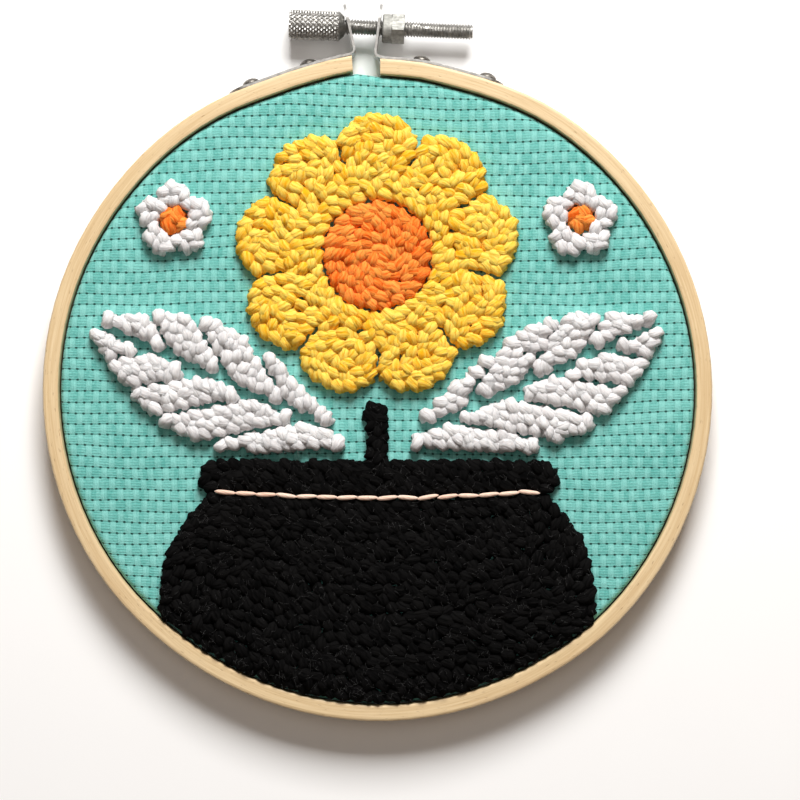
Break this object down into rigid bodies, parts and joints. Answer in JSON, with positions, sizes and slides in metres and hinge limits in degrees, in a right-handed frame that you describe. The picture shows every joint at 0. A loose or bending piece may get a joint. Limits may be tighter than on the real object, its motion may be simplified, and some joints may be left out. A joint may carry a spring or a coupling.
{
  "type": "punch needle wall piece in a wooden embroidery hoop",
  "caption": "Loop pile picture of a flower in a pot on open basket weave cloth, stretched in a split wooden hoop with a metal thumbscrew clamp.",
  "frame": {"origin": "middle of the object's outline, seen from the front, on the plane of the hoop's back rims", "axes": "+Z out of the worked front, +X to the right and +Y towards the thumbscrew, both as seen from the front"},
  "size_m": [0.1597, 0.1717, 0.013],
  "materials": {
    "wood": "pale bent wood, sanded, bare",
    "cloth": "turquoise basket weave, matte",
    "steel": "nickel-plated steel, slightly dulled",
    "yarn_black": "thick low-twist yarn, fuzzy",
    "yarn_yellow": "thick low-twist yarn, fuzzy",
    "yarn_orange": "thick low-twist yarn, fuzzy",
    "yarn_white": "thick low-twist yarn, fuzzy"
  },
  "bodies": {
    "hoop": {"outer_ring": "wood", "inner_ring": "wood", "cloth": "cloth", "pot": "yarn_black", "flower": "yarn_yellow", "flower_centre": "yarn_orange", "leaf_left_upper": "yarn_white", "leaf_left_lower": "yarn_white", "leaf_right_upper": "yarn_white", "leaf_right_lower": "yarn_white", "blossom_left": "yarn_white", "blossom_left_centre": "yarn_orange", "blossom_right": "yarn_white", "blossom_right_centre": "yarn_orange", "strap_left": "steel", "strap_right": "steel", "rivet_left_1": "steel", "rivet_left_2": "steel", "rivet_right_1": "steel", "rivet_right_2": "steel", "nut": "steel"},
    "thumbscrew": {"thumbscrew": "steel"}
  },
  "joints": [
    {"name": "screw_turn", "type": "hinge", "parent": "hoop", "child": "thumbscrew", "pos_m": [-0.003, 0.08024, 0.005], "axis": [0.999, -0.0436, 0], "continuous": true}
  ]
}
